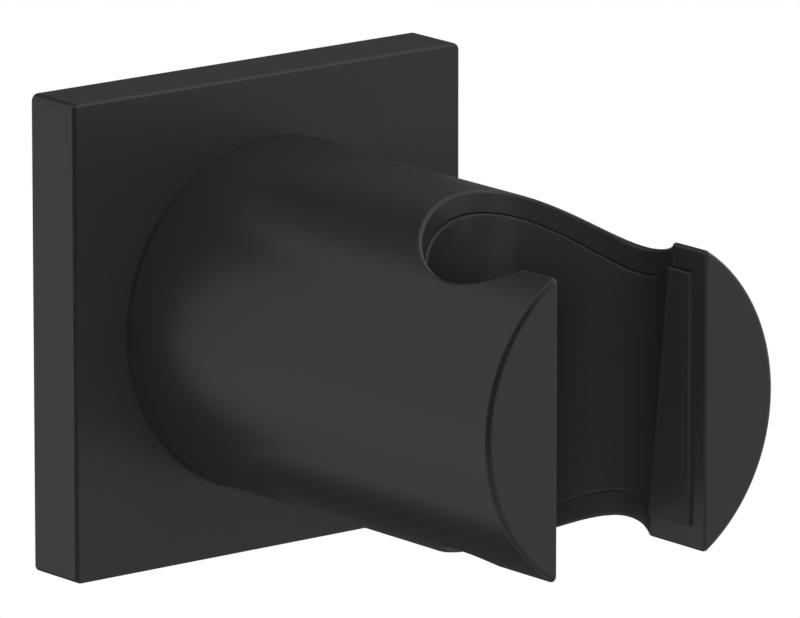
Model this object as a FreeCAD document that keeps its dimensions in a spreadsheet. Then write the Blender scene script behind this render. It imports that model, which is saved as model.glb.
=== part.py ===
import FreeCAD, Part
import os
import Sketcher
from FreeCAD import Rotation, Vector

# Wall-mounted hand shower holder: a square wall plate and a round arm cast in one piece, with a slotted
# conical socket for the hand shower near the arm's free end. The origin is the centre of the plate's back,
# which lies on the wall; +Z is up, +X is to the viewer's right and the arm points along -Y. Millimetres.

doc = FreeCAD.newDocument("HandShowerHolder")

# Driving dimensions: alias, value, what it measures
driving_sizes = [
    ("plate_side", 50.0, "square wall plate, side"),
    ("plate_depth", 7.1, "wall plate, wall to front"),
    ("plate_corner_round", 0.75, "round on the plate's four corners"),
    ("plate_edge_round", 0.38, "round along the plate's front edges"),
    ("arm_diameter", 36.6, "arm, outside"),
    ("arm_reach", 65.4, "wall to the arm's front face"),
    ("arm_wall", 2.2, "wall of the hollow arm"),
    ("end_wall", 2.0, "closed front of the arm"),
    ("arm_foot_round", 0.3, "fillet between arm and plate"),
    ("arm_front_round", 0.6, "round of the arm's front edge"),
    ("seat_from_front", 13.3, "arm's front face to the upright axis of the socket"),
    ("seat_radius", 11.5, "radius of the cone cut in the arm, at the arm's axis"),
    ("seat_taper", 3.6, "half angle of the cone in degrees, wider at the top"),
    ("mouth_width", 18.9, "slot that lets the hose pass, between the arm's tips"),
    ("mouth_edge_round", 0.35, "round of the arm's cut edges"),
    ("mouth_corner_round", 0.5, "round between the seat and the mouth's sides"),
    ("cut_margin", 2.0, "how far cutting shapes run past what they cut"),
    ("liner_proud", 0.4, "how far the liner stands out of the cuts in the arm"),
    ("liner_clearance", 0.1, "liner to arm, all round"),
    ("liner_length", 31.5, "liner along the arm"),
    ("liner_edge_round", 0.25, "round of the liner's edges in the socket"),
    ("liner_core_diameter", 20.0, "core hole in the liner's back"),
    ("liner_core_depth", 4.0, "core hole in the liner's back"),
    ("key_width", 4.0, "cast key in the bore that stops the liner turning"),
    ("key_height", 1.5, "key, out of the bore's wall"),
    ("key_length", 5.0, "key along the arm"),
    ("key_setback", 1.5, "back of the liner to the key"),
    ("key_clearance", 0.15, "key to liner"),
    ("washer_thickness", 0.8, "washer behind the liner"),
    ("washer_bore", 22.0, "hole in the washer"),
    ("washer_clearance", 0.2, "washer to bore, all round"),
    ("ring_thickness", 1.2, "retaining ring"),
    ("ring_width", 3.0, "retaining ring opposite its gap"),
    ("ring_thinning", 1.0, "how much narrower the ring is beside its gap"),
    ("ring_gap", 8.0, "gap in the retaining ring"),
    ("ring_ear_radius", 2.3, "ears of the retaining ring"),
    ("ring_ear_hole", 1.8, "plier holes in the ears"),
    ("ring_groove_depth", 0.85, "groove in the bore's wall"),
    ("ring_clearance", 0.05, "retaining ring to groove and washer"),
    ("plate_rim", 3.5, "plate outside the recess for the wall bracket, at the middle of a side"),
    ("bracket_thickness", 4.8, "wall bracket, a thick disc"),
    ("bracket_clearance", 0.2, "bracket to the recess in the plate, all round"),
    ("bracket_front_gap", 0.6, "bracket to the floor of the recess"),
    ("bracket_notch", 1.2, "depth of the V groove round the bracket"),
    ("wall_slot_inset", 8.3, "bracket's rim to the middle of a slot for a wall screw"),
    ("wall_slot_width", 4.8, "slots for the wall screws"),
    ("wall_slot_length", 8.0, "slots for the wall screws, end to end"),
    ("wall_head_width", 9.0, "recesses for the heads of the wall screws"),
    ("wall_head_depth", 2.8, "recesses for the heads of the wall screws"),
    ("set_screw_diameter", 4.0, "set screw in the plate's underside"),
    ("set_screw_from_wall", 3.3, "wall to the set screw's axis"),
    ("set_screw_inset", 0.4, "set screw, below the plate's surface"),
    ("set_screw_key", 2.0, "hexagon socket, across flats"),
    ("set_screw_key_depth", 1.6, "hexagon socket"),
    ("set_screw_clearance", 0.05, "set screw to its hole and to the V groove"),
    ("seal_cord", 0.95, "thickness of the seal ring's cord"),
    ("seal_groove_width", 1.3, "groove for the seal ring in the plate's back"),
    ("seal_groove_depth", 1.0, "groove for the seal ring in the plate's back"),
    ("seal_inset", 0.9, "recess in the plate to the seal's groove"),
]
aliases = {alias for alias, value, meaning in driving_sizes}

sheet = doc.addObject("Spreadsheet::Sheet", "Sizes")
for row, (alias, value, meaning) in enumerate(driving_sizes, 1):
    sheet.set(f"A{row}", meaning)
    sheet.set(f"B{row}", str(value))
    sheet.setAlias(f"B{row}", alias)
doc.recompute()

# Places that several pieces share, as formulas on the sheet's aliases
bore = "( arm_diameter / 2 - arm_wall )"
seat_from_wall = "( arm_reach - seat_from_front )"
liner_front = "( arm_reach - end_wall - liner_clearance )"
liner_back = f"( {liner_front} - liner_length )"
washer_back = f"( {liner_back} - washer_thickness )"
ring_back = f"( {washer_back} - ring_clearance - ring_thickness )"
recess = "( plate_side / 2 - plate_rim )"
recess_depth = "( bracket_thickness + bracket_front_gap )"
bracket_radius = f"( {recess} - bracket_clearance )"
seat_height = "( arm_diameter / 2 + cut_margin )"
seat_flare = f"{seat_height} * tan( seat_taper )"
notch_root = f"( {bracket_radius} - bracket_notch )"
seal_radius = f"( {recess} + seal_inset + seal_groove_width / 2 )"


def sheet_formula(formula):
    """A formula with the sheet's name before each alias in it."""
    return " ".join(f"Sizes.{word}" if word in aliases else word for word in formula.split())


def value_of(formula):
    value = sheet.evalExpression(sheet_formula(formula))
    return float(getattr(value, "Value", value))


def bind(target, path, formula):
    target.setExpression(path, sheet_formula(formula))


def new_body(label):
    body = doc.addObject("PartDesign::Body", label)
    body.Label = label
    return body


def new_sketch(body, role, name, across="0", up="0", out="0"):
    """A sketch on one of the body's own origin planes, shifted along the sketch's own axes."""
    sketch = body.newObject("Sketcher::SketchObject", name)
    plane = next(item for item in body.Origin.OriginFeatures if item.Role == role)
    sketch.AttachmentSupport = [(plane, "")]
    sketch.MapMode = "FlatFace"
    bind(sketch, "AttachmentOffset.Base.x", across)
    bind(sketch, "AttachmentOffset.Base.y", up)
    bind(sketch, "AttachmentOffset.Base.z", out)
    return sketch


def fix_point(sketch, geometry, point, across, up):
    """Tie a point of the sketch's geometry to its distances from the sketch's origin."""
    for kind, formula in (("DistanceX", across), ("DistanceY", up)):
        constraint = Sketcher.Constraint(kind, -1, 1, geometry, point, value_of(formula))
        number = sketch.addConstraint(constraint)
        bind(sketch, f"Constraints[{number}]", formula)


def add_circle(sketch, radius, across="0", up="0"):
    centre = Vector(value_of(across), value_of(up), 0)
    circle = sketch.addGeometry(Part.Circle(centre, Vector(0, 0, 1), value_of(radius)))
    fix_point(sketch, circle, 3, across, up)
    number = sketch.addConstraint(Sketcher.Constraint("Radius", circle, value_of(radius)))
    bind(sketch, f"Constraints[{number}]", radius)


def add_outline(sketch, corners):
    """A closed outline of straight edges through corners, each a pair of formulas."""
    spots = [Vector(value_of(across), value_of(up), 0) for across, up in corners]
    first = sketch.GeometryCount
    for start, end in zip(spots, spots[1:] + spots[:1]):
        sketch.addGeometry(Part.LineSegment(start, end))
    for number, (across, up) in enumerate(corners):
        following = first + (number + 1) % len(corners)
        sketch.addConstraint(Sketcher.Constraint("Coincident", first + number, 2, following, 1))
        fix_point(sketch, first + number, 1, across, up)


def add_rectangle(sketch, left, right, low, high):
    add_outline(sketch, [(left, low), (right, low), (right, high), (left, high)])


def add_slot(sketch, middle, length, width):
    """A slot along the sketch's first axis, with round ends."""
    radius = value_of(f"{width} / 2")
    reach = f"( {length} - {width} ) / 2"
    left = Vector(value_of(f"{middle} - {reach}"), 0, 0)
    right = Vector(value_of(f"{middle} + {reach}"), 0, 0)
    rise = Vector(0, radius, 0)
    axis = Vector(0, 0, 1)
    first = sketch.GeometryCount
    left_end = Part.ArcOfCircle(Part.Circle(left, axis, radius), 1.5708, 4.7124)
    right_end = Part.ArcOfCircle(Part.Circle(right, axis, radius), -1.5708, 1.5708)
    for geometry in (left_end, Part.LineSegment(left - rise, right - rise),
                     right_end, Part.LineSegment(right + rise, left + rise)):
        sketch.addGeometry(geometry)
    for number in range(4):
        following = first + (number + 1) % 4
        sketch.addConstraint(Sketcher.Constraint("Tangent", first + number, 2, following, 1))
    sketch.addConstraint(Sketcher.Constraint("Horizontal", first + 1))
    fix_point(sketch, first, 3, f"{middle} - {reach}", "0")
    fix_point(sketch, first + 2, 3, f"{middle} + {reach}", "0")
    number = sketch.addConstraint(Sketcher.Constraint("Radius", first, radius))
    bind(sketch, f"Constraints[{number}]", f"{width} / 2")


def add_feature(body, kind, sketch, name, length=None, **settings):
    """A feature made from a sketch; a cutting one has to take material away."""
    before = body.Tip.Shape.Volume if body.Tip else 0
    feature = body.newObject(kind, name)
    feature.Profile = sketch
    for setting, value in settings.items():
        setattr(feature, setting, value)
    if length:
        bind(feature, "Length", length)
    doc.recompute()
    change = feature.Shape.Volume - before
    cutting = kind.endswith(("Pocket", "Groove"))
    if change * (-1 if cutting else 1) <= 0:
        raise RuntimeError(f"{name} changed nothing in {body.Label}")
    return feature


def add_dress(body, kind, name, amount, formula, wanted):
    """Round or bevel those edges of the body for which wanted is true."""
    base = body.Tip
    picked = [f"Edge{number}" for number, edge in enumerate(base.Shape.Edges, 1) if wanted(edge)]
    if not picked:
        raise RuntimeError(f"{name} found no edge on {body.Label}")
    dress = body.newObject(kind, name)
    dress.Base = (base, picked)
    bind(dress, amount, formula)
    doc.recompute()
    return dress


def points_on(edge):
    """Five points spread along an edge."""
    first, last = edge.ParameterRange
    return [edge.valueAt(first + (last - first) * step / 4) for step in range(5)]


def near(number, target):
    return abs(number - target) < 0.01


def at_depth(edge, depth):
    return all(near(point.y, -depth) for point in points_on(edge))


def on_cylinder(edge, radius):
    """Whether an edge lies on a cylinder about the arm's axis."""
    return all(near((point.x ** 2 + point.z ** 2) ** 0.5, radius) for point in points_on(edge))


def cut_socket(body, proud):
    """The upright conical seat and the mouth in front of it, smaller by proud all round."""
    section = new_sketch(body, "YZ_Plane", "SeatSection", across=f"-1 * {seat_from_wall}")
    add_outline(section, [
        ("0", f"-1 * {seat_height}"),
        (f"seat_radius - {proud} - {seat_flare}", f"-1 * {seat_height}"),
        (f"seat_radius - {proud} + {seat_flare}", seat_height),
        ("0", seat_height),
    ])
    add_feature(body, "PartDesign::Groove", section, "Seat", ReferenceAxis=(section, ["V_Axis"]), Angle=360)
    plan = new_sketch(body, "XY_Plane", "MouthPlan")
    side = f"( mouth_width / 2 - {proud} )"
    add_rectangle(plan, f"-1 * {side}", side, "-1 * arm_reach - cut_margin", f"-1 * {seat_from_wall}")
    add_feature(body, "PartDesign::Pocket", plan, "Mouth", f"2 * {seat_height}", Midplane=True)
    half_mouth = value_of(side)
    near_seat = value_of(f"{seat_from_wall} + seat_radius")

    def meets_seat(edge):
        ends = points_on(edge)
        on_side = all(near(abs(point.x), half_mouth) and -point.y < near_seat for point in ends)
        return on_side and abs(ends[0].z - ends[-1].z) > 1 and not at_depth(edge, -ends[0].y)

    add_dress(body, "PartDesign::Fillet", "MouthCorners", "Radius", "mouth_corner_round", meets_seat)


def make_holder_body():
    body = new_body("holder_body")
    radius = value_of("arm_diameter / 2")
    depth = value_of("plate_depth")
    reach = value_of("arm_reach")

    plate = new_sketch(body, "XZ_Plane", "PlateOutline")
    side = "plate_side / 2"
    add_rectangle(plate, f"-1 * {side}", side, f"-1 * {side}", side)
    add_feature(body, "PartDesign::Pad", plate, "Plate", "plate_depth")
    add_dress(body, "PartDesign::Fillet", "PlateCorners", "Radius", "plate_corner_round",
              lambda edge: not at_depth(edge, 0) and not at_depth(edge, depth))

    arm = new_sketch(body, "XZ_Plane", "ArmOutline")
    add_circle(arm, "arm_diameter / 2")
    add_feature(body, "PartDesign::Pad", arm, "Arm", "arm_reach")
    add_dress(body, "PartDesign::Fillet", "PlateEdges", "Radius", "plate_edge_round",
              lambda edge: at_depth(edge, depth) and not on_cylinder(edge, radius))
    add_dress(body, "PartDesign::Fillet", "ArmFoot", "Radius", "arm_foot_round",
              lambda edge: at_depth(edge, depth) and on_cylinder(edge, radius))
    add_dress(body, "PartDesign::Fillet", "ArmFront", "Radius", "arm_front_round",
              lambda edge: at_depth(edge, reach))

    bracket_recess = new_sketch(body, "XZ_Plane", "BracketRecessOutline")
    add_circle(bracket_recess, recess)
    add_feature(body, "PartDesign::Pocket", bracket_recess, "BracketRecess", recess_depth, Reversed=True)
    hollow = new_sketch(body, "XZ_Plane", "BoreOutline")
    add_circle(hollow, bore)
    add_feature(body, "PartDesign::Pocket", hollow, "Bore", "arm_reach - end_wall", Reversed=True)
    ring_groove = new_sketch(body, "XZ_Plane", "RingGrooveOutline", out=f"{ring_back} - ring_clearance")
    add_circle(ring_groove, f"{bore} + ring_groove_depth")
    add_feature(body, "PartDesign::Pocket", ring_groove, "RingGroove",
                "ring_thickness + 2 * ring_clearance", Reversed=True)
    key = new_sketch(body, "XZ_Plane", "KeyOutline", out=f"{liner_back} + key_setback")
    add_rectangle(key, "-1 * key_width / 2", "key_width / 2",
                  f"-1 * {bore} - arm_wall / 2", f"-1 * {bore} + key_height")
    add_feature(body, "PartDesign::Pad", key, "Key", "key_length")

    seal_groove = new_sketch(body, "XZ_Plane", "SealGrooveOutline")
    add_circle(seal_groove, f"{seal_radius} - seal_groove_width / 2")
    add_circle(seal_groove, f"{seal_radius} + seal_groove_width / 2")
    add_feature(body, "PartDesign::Pocket", seal_groove, "SealGroove", "seal_groove_depth", Reversed=True)
    screw_hole = new_sketch(body, "XY_Plane", "SetScrewHoleOutline", out="-1 * plate_side / 2")
    add_circle(screw_hole, "set_screw_diameter / 2", up="-1 * set_screw_from_wall")
    add_feature(body, "PartDesign::Pocket", screw_hole, "SetScrewHole",
                f"plate_side / 2 - {recess} + cut_margin", Reversed=True)

    cut_socket(body, "0")
    half_mouth = value_of("mouth_width / 2")

    def is_cut_edge(edge):
        beyond_plate = all(point.y < -depth - 1 for point in points_on(edge))
        at_mouth_front = at_depth(edge, reach) and all(near(abs(p.x), half_mouth) for p in points_on(edge))
        on_arm = on_cylinder(edge, radius) and not at_depth(edge, points_on(edge)[0].y * -1)
        return beyond_plate and (at_mouth_front or on_arm)

    add_dress(body, "PartDesign::Fillet", "MouthEdges", "Radius", "mouth_edge_round", is_cut_edge)
    return body


def make_socket_liner():
    body = new_body("socket_liner")
    radius = value_of(f"{bore} - liner_clearance")
    front = value_of(liner_front)
    block = new_sketch(body, "XZ_Plane", "LinerOutline", out=liner_back)
    add_circle(block, f"{bore} - liner_clearance")
    add_feature(body, "PartDesign::Pad", block, "Block", "liner_length")
    core = new_sketch(body, "XZ_Plane", "CoreOutline", out=liner_back)
    add_circle(core, "liner_core_diameter / 2")
    add_feature(body, "PartDesign::Pocket", core, "Core", "liner_core_depth", Reversed=True)
    keyway = new_sketch(body, "XZ_Plane", "KeywayOutline", out=liner_back)
    side = "( key_width / 2 + key_clearance )"
    add_rectangle(keyway, f"-1 * {side}", side, f"-1 * {bore} - cut_margin",
                  f"-1 * {bore} + key_height + key_clearance")
    add_feature(body, "PartDesign::Pocket", keyway, "Keyway",
                "key_setback + key_length + key_clearance", Reversed=True)
    cut_socket(body, "liner_proud")
    half_mouth = value_of("mouth_width / 2 - liner_proud")
    back = value_of(f"{liner_back} + liner_core_depth")

    def is_socket_edge(edge):
        in_socket = all(point.y < -back for point in points_on(edge))
        at_front = at_depth(edge, front) and all(near(abs(p.x), half_mouth) for p in points_on(edge))
        on_round = on_cylinder(edge, radius) and not at_depth(edge, points_on(edge)[0].y * -1)
        beside_key = all(abs(point.x) < value_of(side) + 0.01 for point in points_on(edge))
        return in_socket and (at_front or on_round) and not beside_key

    add_dress(body, "PartDesign::Fillet", "SocketEdges", "Radius", "liner_edge_round", is_socket_edge)
    return body


def make_liner_washer():
    body = new_body("liner_washer")
    outline = new_sketch(body, "XZ_Plane", "WasherOutline", out=washer_back)
    add_circle(outline, f"{bore} - washer_clearance")
    add_circle(outline, "washer_bore / 2")
    add_feature(body, "PartDesign::Pad", outline, "Washer", "washer_thickness")
    return body


def make_retaining_ring():
    """An internal ring for the bore's groove, thinner towards its gap, with two eared ends at the top."""
    body = new_body("retaining_ring")
    outside = f"( {bore} + ring_groove_depth - ring_clearance )"
    inside = f"( {outside} - ring_width + ring_thinning / 2 )"
    ear_height = f"( {bore} - ring_ear_radius - ring_clearance )"
    outline = new_sketch(body, "XZ_Plane", "RingOutline", out=ring_back)
    add_circle(outline, outside)
    add_circle(outline, inside, up="ring_thinning / 2")
    add_feature(body, "PartDesign::Pad", outline, "Ring", "ring_thickness")
    ears = new_sketch(body, "XZ_Plane", "EarOutline", out=ring_back)
    for hand in ("-1", "1"):
        add_circle(ears, "ring_ear_radius", across=f"{hand} * ( ring_gap / 2 + ring_ear_radius )",
                   up=f"{ear_height} - ring_ear_radius / 4")
    add_feature(body, "PartDesign::Pad", ears, "Ears", "ring_thickness")
    gap = new_sketch(body, "XZ_Plane", "GapOutline", out=ring_back)
    add_rectangle(gap, "-1 * ring_gap / 2", "ring_gap / 2", "0", f"{outside} + cut_margin")
    add_feature(body, "PartDesign::Pocket", gap, "Gap", "ring_thickness", Reversed=True)
    holes = new_sketch(body, "XZ_Plane", "PlierHoleOutline", out=ring_back)
    for hand in ("-1", "1"):
        add_circle(holes, "ring_ear_hole / 2", across=f"{hand} * ( ring_gap / 2 + ring_ear_radius )",
                   up=f"{ear_height} - ring_ear_radius / 4")
    add_feature(body, "PartDesign::Pocket", holes, "PlierHoles", "ring_thickness", Reversed=True)
    return body


def make_wall_bracket():
    """A turned disc with a V groove round its rim and two slots for the wall screws."""
    body = new_body("wall_bracket")
    section = new_sketch(body, "YZ_Plane", "BracketSection")
    add_outline(section, [
        ("0", "0"),
        ("0", bracket_radius),
        ("-1 * set_screw_from_wall + bracket_notch", bracket_radius),
        ("-1 * set_screw_from_wall", notch_root),
        ("-1 * set_screw_from_wall - bracket_notch", bracket_radius),
        ("-1 * bracket_thickness", bracket_radius),
        ("-1 * bracket_thickness", "0"),
    ])
    add_feature(body, "PartDesign::Revolution", section, "Disc", ReferenceAxis=(section, ["H_Axis"]), Angle=360)
    slots = new_sketch(body, "XZ_Plane", "WallSlotOutline")
    heads = new_sketch(body, "XZ_Plane", "HeadRecessOutline", out="bracket_thickness - wall_head_depth")
    for hand in ("-1", "1"):
        middle = f"{hand} * ( {bracket_radius} - wall_slot_inset )"
        add_slot(slots, middle, "wall_slot_length", "wall_slot_width")
        add_slot(heads, middle, "( wall_slot_length - wall_slot_width + wall_head_width )", "wall_head_width")
    add_feature(body, "PartDesign::Pocket", slots, "WallSlots", "bracket_thickness", Reversed=True)
    add_feature(body, "PartDesign::Pocket", heads, "HeadRecesses", "wall_head_depth", Reversed=True)
    return body


def make_set_screw():
    """A cone-point screw that comes up through the plate and bites into the bracket's V groove."""
    body = new_body("set_screw")
    radius = "( set_screw_diameter / 2 - set_screw_clearance )"
    tip = f"( -1 * {notch_root} - set_screw_clearance )"
    low_end = "( -1 * plate_side / 2 + set_screw_inset )"
    section = new_sketch(body, "YZ_Plane", "ScrewSection", across="-1 * set_screw_from_wall")
    add_outline(section, [("0", low_end), (radius, low_end), (radius, f"{tip} - {radius}"), ("0", tip)])
    add_feature(body, "PartDesign::Revolution", section, "Shank", ReferenceAxis=(section, ["V_Axis"]), Angle=360)
    socket = new_sketch(body, "XY_Plane", "SocketOutline", up="-1 * set_screw_from_wall", out=low_end)
    flat = "set_screw_key / 2"
    point = "set_screw_key / sqrt( 3 )"
    add_outline(socket, [
        ("0", point), (flat, f"{point} / 2"), (flat, f"-1 * {point} / 2"),
        ("0", f"-1 * {point}"), (f"-1 * {flat}", f"-1 * {point} / 2"), (f"-1 * {flat}", f"{point} / 2"),
    ])
    add_feature(body, "PartDesign::Pocket", socket, "Socket", "set_screw_key_depth", Reversed=True)
    return body


def make_wall_seal():
    """A cord ring in the plate's back that meets the wall."""
    seal = doc.addObject("Part::Torus", "wall_seal")
    seal.Label = "wall_seal"
    bind(seal, "Radius1", seal_radius)
    bind(seal, "Radius2", "seal_cord / 2")
    bind(seal, "Placement.Base.y", "-1 * seal_cord / 2")
    seal.Placement.Rotation = Rotation(Vector(1, 0, 0), 90)
    return seal


pieces = [
    make_holder_body(),
    make_socket_liner(),
    make_liner_washer(),
    make_retaining_ring(),
    make_wall_bracket(),
    make_set_screw(),
    make_wall_seal(),
]
doc.recompute()

failed = [item.Name for item in doc.Objects if "Invalid" in item.State or "Error" in item.State]
if failed:
    raise RuntimeError(f"failed objects: {failed}")
for piece in pieces:
    if piece.Shape.isNull() or not piece.Shape.isValid() or len(piece.Shape.Solids) != 1:
        raise RuntimeError(f"{piece.Label} is not one valid solid")

os.makedirs("parts", exist_ok=True)
for piece in pieces:
    piece.Shape.exportStep(f"parts/{piece.Label}.step")
    print(f"{piece.Label}: {piece.Shape.Volume / 1000:.3f} cm3")
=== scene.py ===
import math

import bpy
from mathutils import Matrix, Vector

# Wall-mounted hand shower holder in satin black, seen from the front left and a little above.
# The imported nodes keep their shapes; this script gives them their finishes, the light and the camera.

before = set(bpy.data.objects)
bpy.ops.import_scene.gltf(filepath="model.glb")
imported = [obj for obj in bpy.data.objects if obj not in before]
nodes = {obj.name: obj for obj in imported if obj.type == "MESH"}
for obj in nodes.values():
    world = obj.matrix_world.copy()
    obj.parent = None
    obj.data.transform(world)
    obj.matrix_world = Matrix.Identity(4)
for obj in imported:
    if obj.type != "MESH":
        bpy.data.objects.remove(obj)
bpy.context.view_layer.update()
print("frame loaded:", ", ".join(sorted(nodes)))


class Wire:
    # an output in a shader tree; arithmetic on it adds Math nodes
    def __init__(self, tree, socket):
        self.tree = tree
        self.socket = socket

    def maths(self, operation, first, second):
        return self.tree.add("ShaderNodeMath", {"operation": operation}, {0: first, 1: second})

    def __add__(self, other):
        return self.maths("ADD", self, other)

    def __radd__(self, other):
        return self.maths("ADD", other, self)

    def __sub__(self, other):
        return self.maths("SUBTRACT", self, other)

    def __rsub__(self, other):
        return self.maths("SUBTRACT", other, self)

    def __mul__(self, other):
        return self.maths("MULTIPLY", self, other)

    def __rmul__(self, other):
        return self.maths("MULTIPLY", other, self)


class ShaderTree:
    # a material's or the world's nodes, cleared and ready to fill
    def __init__(self, owner):
        owner.use_nodes = True
        self.tree = owner.node_tree
        self.tree.nodes.clear()

    def add(self, kind, settings=None, inputs=None, output=0):
        # settings come first, because some of them change the sockets
        node = self.tree.nodes.new(kind)
        for name, value in (settings or {}).items():
            setattr(node, name, value)
        for name, value in (inputs or {}).items():
            socket = node.inputs[name]
            if isinstance(value, Wire):
                self.tree.links.new(value.socket, socket)
            else:
                socket.default_value = value
        if node.outputs:
            return Wire(self, node.outputs[output])

    def place(self):
        # where on the piece, in metres of the shared frame
        return self.add("ShaderNodeTexCoord", output="Object")

    def along(self, place, direction):
        # how far place lies in a direction
        return self.add("ShaderNodeVectorMath", {"operation": "DOT_PRODUCT"},
                        {0: place, 1: direction}, "Value")

    def noise(self, place, size, detail, roughness=0.5, distortion=0.0):
        return self.add("ShaderNodeTexNoise", None, {
            "Vector": place, "Scale": 1 / size, "Detail": detail,
            "Roughness": roughness, "Distortion": distortion,
        })

    def blend(self, share, first, second):
        # a colour between two others
        return self.add("ShaderNodeMix", {"data_type": "RGBA"},
                        {0: share, 6: opaque(first), 7: opaque(second)}, 2)

    def bump(self, height, distance, strength=1.0):
        return self.add("ShaderNodeBump", None,
                        {"Strength": strength, "Distance": distance, "Height": height})

    def surface(self, inputs):
        shader = self.add("ShaderNodeBsdfPrincipled", None, inputs)
        self.add("ShaderNodeOutputMaterial", None, {"Surface": shader})


def opaque(colour):
    # red, green and blue with full alpha; a wire passes as it is
    return colour if isinstance(colour, Wire) else (*colour, 1.0)


def grey(level):
    return (level, level, level, 1.0)


def around(middle, spread, share):
    # strays by half of spread to either side of middle as share goes from 0 to 1
    return (share - 0.5) * spread + middle


# Satin black coating over the cast body
coating = {
    "colour": (0.0207, 0.0210, 0.0191),
    "paleColour": (0.0225, 0.0228, 0.0209),
    "cloudSize": 0.011,         # metres, drifts of tone that only show close up
    "cloudDetail": 3.0,
    "peelSize": 0.00055,        # metres, the coat's fine orange peel
    "peelDetail": 2.0,
    "peelBreakup": 0.45,
    "peelHeight": 0.0000006,
    "roughness": 0.315,
    "roughnessSpread": 0.02,
    "specular": 0.19,
    "sheen": (0.98, 1.0, 0.87),
    "armRadius": 0.0183,        # metres, as all depths, heights and widths below
    "footDepth": -0.0071,       # the arm's foot on the plate: the coat in this corner is dull, and painted shade darkens its colour there to stand for a dark reflection
    "footShadeWidth": 0.00038,
    # the next colour is painted shade in the foot's corner, standing for a dark reflection there
    "footShadeColour": (0.0085, 0.0087, 0.0082),
    "footRoughness": 0.30,      # added to the coat's own
    "frontDepth": -0.0654,      # the arm's round front edge: painted shade darkens the coat's colour on it, standing for a dark reflection
    "frontShadeWidth": 0.00055,
    "frontShadeTop": 0.0148,         # from this height up the edge has the coat's own colour, without painted shade
    "frontShadeFade": 0.0016,        # height over which the painted shade fades out below that height
    "plateHalf": 0.025,         # the plate's two upright front edges: the same painted shade of a dark reflection
    "plateShadeWidth": 0.00048,
    # the next colour is painted shade on the edges, standing for dark reflections there
    "edgeShadeColour": (0.0118, 0.0120, 0.0112),
}


def nearLine(tree, aside, along, width):
    # 1 up to half of width from the line where both offsets are nil, 0 from width on
    distance = tree.add("ShaderNodeMath", {"operation": "SQRT"}, {0: aside * aside + along * along})
    return tree.add("ShaderNodeMapRange", None,
                    {"Value": distance, "From Min": width, "From Max": width / 2})


def makeCoating():
    material = bpy.data.materials.new("satinBlackCoating")
    tree = ShaderTree(material)
    place = tree.place()
    clouds = tree.noise(place, coating["cloudSize"], coating["cloudDetail"])
    peel = tree.noise(place, coating["peelSize"], coating["peelDetail"], coating["peelBreakup"])

    across = tree.along(place, (1.0, 0.0, 0.0))
    depth = tree.along(place, (0.0, 1.0, 0.0))
    height = tree.along(place, (0.0, 0.0, 1.0))
    flat = tree.add("ShaderNodeMapping", None, {"Vector": place, "Scale": (1.0, 0.0, 1.0)})
    fromAxis = tree.add("ShaderNodeVectorMath", {"operation": "LENGTH"}, {0: flat}, "Value")
    fromMiddle = tree.add("ShaderNodeMath", {"operation": "ABSOLUTE"}, {0: across})
    fromSkin = fromAxis - coating["armRadius"]
    fromSide = fromMiddle - coating["plateHalf"]
    fromPlate = depth - coating["footDepth"]
    fromFront = depth - coating["frontDepth"]

    # foot masks the painted shade in the corner round the arm's foot, a dark reflection drawn into the
    # colour; it also dulls the coat there
    foot = nearLine(tree, fromSkin, fromPlate, coating["footShadeWidth"])
    # lower, front, upright and edges mask the painted shade on the arm's front edge and the plate's
    # upright edges, dark reflections drawn into the colour
    lower = tree.add("ShaderNodeMapRange", None, {
        "Value": height, "From Min": coating["frontShadeTop"],
        "From Max": coating["frontShadeTop"] - coating["frontShadeFade"],
    })
    front = nearLine(tree, fromSkin, fromFront, coating["frontShadeWidth"]) * lower
    upright = nearLine(tree, fromSide, fromPlate, coating["plateShadeWidth"])
    edges = tree.add("ShaderNodeMath", {"operation": "MAXIMUM"}, {0: front, 1: upright})

    plain = tree.blend(clouds, coating["colour"], coating["paleColour"])
    footShaded = tree.blend(foot, plain, coating["footShadeColour"])
    shine = around(coating["roughness"], coating["roughnessSpread"], clouds)
    tree.surface({
        "Base Color": tree.blend(edges, footShaded, coating["edgeShadeColour"]),
        "Roughness": shine + foot * coating["footRoughness"],
        "Normal": tree.bump(peel, coating["peelHeight"]),
        "Specular IOR Level": coating["specular"],
        "Specular Tint": opaque(coating["sheen"]),
    })
    return material


# Moulded liner in the socket
liner = {
    "colour": (0.0226, 0.0226, 0.0226),
    "paleColour": (0.0237, 0.0237, 0.0237),
    "flowSize": 0.006,          # metres, drifts left by the plastic's flow in the mould
    "flowDetail": 2.0,
    "flowDistortion": 0.6,
    "grainSize": 0.00035,       # metres, the mould's fine grain
    "grainDetail": 3.0,
    "grainHeight": 0.0000005,
    "roughness": 0.21,
    "roughnessSpread": 0.02,
    "specular": 0.09,
}


def makeLinerPlastic():
    material = bpy.data.materials.new("linerPlastic")
    tree = ShaderTree(material)
    place = tree.place()
    flow = tree.noise(place, liner["flowSize"], liner["flowDetail"], distortion=liner["flowDistortion"])
    grain = tree.noise(place, liner["grainSize"], liner["grainDetail"])
    tree.surface({
        "Base Color": tree.blend(flow, liner["colour"], liner["paleColour"]),
        "Roughness": around(liner["roughness"], liner["roughnessSpread"], grain),
        "Normal": tree.bump(grain, liner["grainHeight"]),
        "Specular IOR Level": liner["specular"],
    })
    return material


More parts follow.
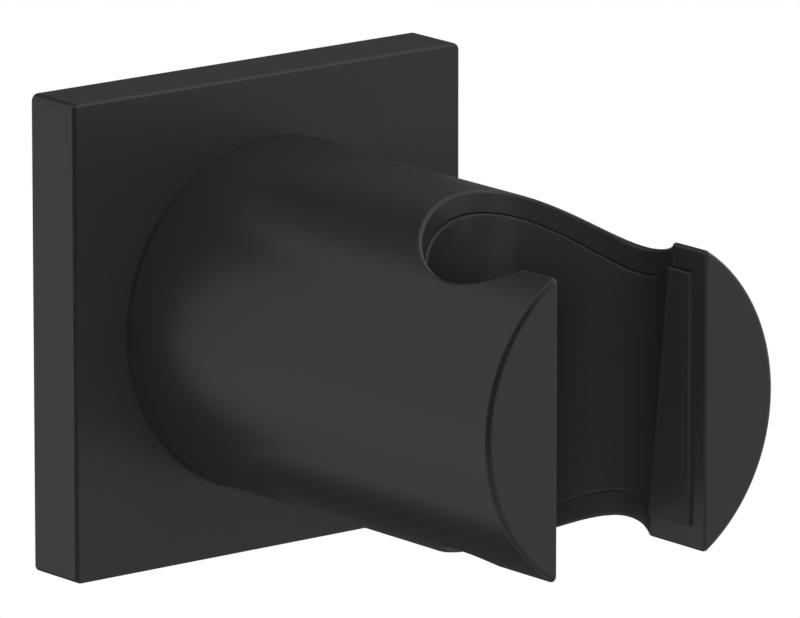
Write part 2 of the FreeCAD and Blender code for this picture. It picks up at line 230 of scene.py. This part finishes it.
# Metal parts behind the plate and in the arm; lineSize is the distance from line to line, or of the
# thread's turns, and stretch how much longer than wide the drawn lines are
metalParts = {
    "liner_washer": {
        "name": "rolledStainless", "colour": (0.56, 0.55, 0.53), "darkColour": (0.47, 0.46, 0.44),
        "pattern": "drawn", "lineSize": 0.0004, "stretch": 30.0, "height": 0.000004, "roughness": 0.3,
    },
    "retaining_ring": {
        "name": "springSteel", "colour": (0.30, 0.29, 0.28), "darkColour": (0.20, 0.19, 0.18),
        "pattern": "drawn", "lineSize": 0.0005, "stretch": 12.0, "height": 0.000005, "roughness": 0.36,
    },
    "wall_bracket": {
        "name": "turnedBrass", "colour": (0.84, 0.64, 0.34), "darkColour": (0.74, 0.53, 0.25),
        "pattern": "turned", "lineSize": 0.000628, "height": 0.000006, "roughness": 0.38,
    },
    "set_screw": {
        "name": "threadedStainless", "colour": (0.50, 0.49, 0.47), "darkColour": (0.34, 0.33, 0.32),
        "pattern": "threaded", "lineSize": 0.0007, "height": 0.00006, "roughness": 0.28,
    },
}
metal = {
    "waveLength": 0.314,        # metres from band to band of a wave texture of scale 1
    "wobble": 1.5,              # how unevenly the turned rings run
    "turnedDetail": 2.0,
    "drawnDetail": 4.0,
    "stainSize": 1 / 180,       # metres
    "stainDetail": 3.0,
    "bumpStrength": 0.6,
    "lineShine": 0.08,          # how far lines and stains change the roughness
    "stainShine": 0.10,
}


def makeLines(tree, place, look):
    if look["pattern"] == "drawn":
        drawn = tree.add("ShaderNodeMapping", None,
                         {"Vector": place, "Scale": (1 / look["stretch"], 1.0, 1.0)})
        return tree.noise(drawn, look["lineSize"], metal["drawnDetail"])
    scale = metal["waveLength"] / look["lineSize"]
    if look["pattern"] == "turned":
        return tree.add("ShaderNodeTexWave", {"wave_type": "RINGS", "rings_direction": "Y"}, {
            "Vector": place, "Scale": scale,
            "Distortion": metal["wobble"], "Detail": metal["turnedDetail"],
        })
    return tree.add("ShaderNodeTexWave", {"bands_direction": "Z"},
                    {"Vector": place, "Scale": scale, "Distortion": 0.0})


def makeMetal(look):
    material = bpy.data.materials.new(look["name"])
    tree = ShaderTree(material)
    place = tree.place()
    lines = makeLines(tree, place, look)
    stain = tree.noise(place, metal["stainSize"], metal["stainDetail"])
    shine = around(look["roughness"], metal["lineShine"], lines) + around(0.0, metal["stainShine"], stain)
    tree.surface({
        "Base Color": tree.blend(stain, look["darkColour"], look["colour"]),
        "Metallic": 1.0,
        "Roughness": shine,
        "Normal": tree.bump(lines, look["height"], metal["bumpStrength"]),
    })
    return material


# Rubber ring in the plate's back
seal = {
    "colour": (0.012, 0.012, 0.012),
    "dustColour": (0.030, 0.029, 0.028),
    "bloomSize": 0.003,         # metres, the pale bloom on old rubber
    "bloomDetail": 4.0,
    "skinSize": 0.00025,
    "skinDetail": 2.0,
    "skinHeight": 0.000004,
    "roughness": 0.62,
    "roughnessSpread": 0.12,
    "specular": 0.4,
}


def makeSealRubber():
    material = bpy.data.materials.new("sealRubber")
    tree = ShaderTree(material)
    place = tree.place()
    bloom = tree.noise(place, seal["bloomSize"], seal["bloomDetail"])
    skin = tree.noise(place, seal["skinSize"], seal["skinDetail"])
    tree.surface({
        "Base Color": tree.blend(bloom, seal["colour"], seal["dustColour"]),
        "Roughness": around(seal["roughness"], seal["roughnessSpread"], bloom),
        "Normal": tree.bump(skin, seal["skinHeight"]),
        "Specular IOR Level": seal["specular"],
    })
    return material


finishes = {
    "holder_body": makeCoating(),
    "socket_liner": makeLinerPlastic(),
    "wall_seal": makeSealRubber(),
}
for name, look in metalParts.items():
    finishes[name] = makeMetal(look)

for name, material in finishes.items():
    node = nodes[name]
    for slot in node.material_slots:
        slot.material = material
    if not node.material_slots:
        node.data.materials.append(material)
print("finishes given:", len(finishes))


# Floor, studio cards and lamps
studio = {
    "floorBelow": 0.16,        # metres under the holder's axis
    "floorRadius": 0.30,       # the pale floor has half faded into the white here
    "floorFade": 0.12,         # the fade's reach to either side of floorRadius
    "floorSteps": 96,          # sides of the floor's rim
    "cardSteps": 24,           # flat strips in a bent card
    "floorColour": 0.92,
    "roomLevel": 0.24,         # the world's light on the object; white is 1
}

lamps = {
    # azimuth is counted from straight in front of the holder towards the viewer's left, in degrees
    "keyLamp": {"azimuth": -38.0, "elevation": 41.0, "distance": 0.9, "width": 0.50, "height": 0.30,
                "glow": 3.0, "mirrored": True},
    "fillLamp": {"azimuth": 39.0, "elevation": 11.5, "distance": 0.9, "width": 0.24, "height": 0.24,
                 "glow": 27.8, "mirrored": False},
    "topLamp": {"azimuth": 20.0, "elevation": 80.0, "distance": 0.9, "width": 0.50, "height": 0.50,
                "glow": 4.0, "mirrored": False},
}

# dark cards that only reflections see; azimuth as for the lamps, heights and distances in metres
cards = {
    "frontCard": {"from": 4.0, "to": 100.0, "distance": 0.5, "low": -0.15, "high": 0.8, "level": 0.0},
    "wallCard": {"from": 166.0, "to": 202.0, "distance": 0.6, "low": -0.15, "high": 1.0, "level": 0.0},
    "backCard": {"from": 202.0, "to": 232.0, "distance": 0.6, "low": -0.15, "high": 1.0, "level": 0.12},
}
lowerCards = {
    "lowerBand": {"left": -0.040, "right": 0.035, "front": -0.01, "back": 0.45, "below": 0.12,
                  "level": 0.02},
    "lowerRight": {"left": 0.035, "right": 0.45, "front": -0.01, "back": 0.45, "below": 0.12,
                   "level": 0.08},
}


def towards(azimuth, elevation):
    # unit vector from the holder, azimuth 0 is the way the arm points
    turn, lift = math.radians(azimuth), math.radians(elevation)
    return Vector((-math.sin(turn) * math.cos(lift), -math.cos(turn) * math.cos(lift), math.sin(lift)))


def facing(direction, spot):
    # a lamp's placing at spot; its -Z axis, the way it shines, points against direction
    turn = direction.to_track_quat("Z", "Y").to_matrix().to_4x4()
    return Matrix.Translation(spot) @ turn


# the point on the arm's axis at which the lamps aim
aim = Vector((0.0, -0.03, 0.0))


def makeLamps():
    for name, look in lamps.items():
        data = bpy.data.lights.new(name, "AREA")
        data.shape = "RECTANGLE"
        data.size = look["width"]
        data.size_y = look["height"]
        data.energy = look["glow"] * math.pi * look["width"] * look["height"]
        lamp = bpy.data.objects.new(name, data)
        lamp.visible_glossy = look["mirrored"]
        bpy.context.scene.collection.objects.link(lamp)
        way = towards(look["azimuth"], look["elevation"])
        lamp.matrix_world = facing(way, aim + way * look["distance"])


def makeFloor():
    below = studio["floorBelow"]
    reach = studio["floorRadius"] + studio["floorFade"]
    turns = [math.tau * step / studio["floorSteps"] for step in range(studio["floorSteps"])]
    rim = [(math.cos(turn) * reach, math.sin(turn) * reach, -below) for turn in turns]
    mesh = bpy.data.meshes.new("floor")
    mesh.from_pydata(rim, [], [tuple(range(len(rim)))])
    floor = bpy.data.objects.new("floor", mesh)
    bpy.context.scene.collection.objects.link(floor)
    material = bpy.data.materials.new("paleFloor")
    tree = ShaderTree(material)
    flat = tree.add("ShaderNodeVectorMath", {"operation": "MULTIPLY"},
                    {0: tree.place(), 1: (1.0, 1.0, 0.0)})
    away = tree.add("ShaderNodeVectorMath", {"operation": "LENGTH"}, {0: flat}, "Value")
    fade = tree.add("ShaderNodeMapRange", {"interpolation_type": "SMOOTHSTEP"}, {
        "Value": away, "From Min": studio["floorRadius"] - studio["floorFade"], "From Max": reach,
    })
    matt = tree.add("ShaderNodeBsdfDiffuse", None, {"Color": grey(studio["floorColour"])})
    clear = tree.add("ShaderNodeBsdfTransparent")
    both = tree.add("ShaderNodeMixShader", None, {0: fade, 1: matt, 2: clear})
    tree.add("ShaderNodeOutputMaterial", None, {"Surface": both})
    mesh.materials.append(material)


def finishCard(name, points, faces, level):
    mesh = bpy.data.meshes.new(name)
    mesh.from_pydata(points, [], faces)
    card = bpy.data.objects.new(name, mesh)
    bpy.context.scene.collection.objects.link(card)
    material = bpy.data.materials.new(name)
    tree = ShaderTree(material)
    dark = tree.add("ShaderNodeEmission", None, {"Color": grey(1.0), "Strength": level})
    tree.add("ShaderNodeOutputMaterial", None, {"Surface": dark})
    mesh.materials.append(material)
    card.visible_camera = False
    card.visible_diffuse = False
    card.visible_transmission = False
    card.visible_shadow = False


def makeCards():
    # upright cards bent round the holder
    for name, look in cards.items():
        steps = studio["cardSteps"]
        points = []
        for step in range(steps + 1):
            turn = math.radians(look["from"] + (look["to"] - look["from"]) * step / steps)
            x, y = -math.sin(turn) * look["distance"], -math.cos(turn) * look["distance"]
            points += [(x, y, look["low"]), (x, y, look["high"])]
        faces = [(2 * step, 2 * step + 2, 2 * step + 3, 2 * step + 1) for step in range(steps)]
        finishCard(name, points, faces, look["level"])
    for name, look in lowerCards.items():
        corners = [(look["left"], look["front"]), (look["right"], look["front"]),
                   (look["right"], look["back"]), (look["left"], look["back"])]
        finishCard(name, [(x, y, -look["below"]) for x, y in corners], [(0, 1, 2, 3)], look["level"])


def makeWorld():
    world = bpy.data.worlds.new("studioWorld")
    tree = ShaderTree(world)
    seen = tree.add("ShaderNodeLightPath", output="Is Camera Ray")
    shiny = tree.add("ShaderNodeLightPath", output="Is Glossy Ray")
    through = tree.add("ShaderNodeLightPath", output="Is Transmission Ray")
    white = seen + shiny + through
    level = white * (1 - studio["roomLevel"]) + studio["roomLevel"]
    sky = tree.add("ShaderNodeBackground", None, {"Color": grey(1.0), "Strength": level})
    tree.add("ShaderNodeOutputWorld", None, {"Surface": sky})
    bpy.context.scene.world = world


makeLamps()
makeFloor()
makeCards()
makeWorld()
print("studio ready:", len(lamps), "lamps,", len(cards) + len(lowerCards), "cards")


# Camera: a long lens from the front left, a little above
view = {
    "azimuth": 38.4817,         # degrees towards the viewer's left
    "elevation": 13.1624,
    "distance": 1.14093,        # metres from the frame's origin
    "aside": 0.017767,          # metres, how far the camera is moved to its right and up
    "above": -0.000988,
    "lens": 497.25,             # millimetres, as the sensor's width
    "sensor": 36.0,
    "near": 0.05,               # metres, what lies nearer or beyond far is not shown
    "far": 20.0,
}


def makeCamera():
    turn, lift = math.radians(view["azimuth"]), math.radians(view["elevation"])
    ahead = Vector((math.sin(turn) * math.cos(lift), math.cos(turn) * math.cos(lift), -math.sin(lift)))
    right = Vector((math.cos(turn), -math.sin(turn), 0.0))
    up = right.cross(ahead)
    data = bpy.data.cameras.new("camera")
    data.sensor_fit = "HORIZONTAL"
    data.sensor_width = view["sensor"]
    data.lens = view["lens"]
    data.clip_start = view["near"]
    data.clip_end = view["far"]
    camera = bpy.data.objects.new("camera", data)
    bpy.context.scene.collection.objects.link(camera)
    spot = ahead * -view["distance"] + right * view["aside"] + up * view["above"]
    camera.matrix_world = Matrix.Translation(spot) @ Matrix((right, up, -ahead)).transposed().to_4x4()
    bpy.context.scene.camera = camera


makeCamera()
bpy.context.scene.view_settings.view_transform = "Standard"
print("camera set")
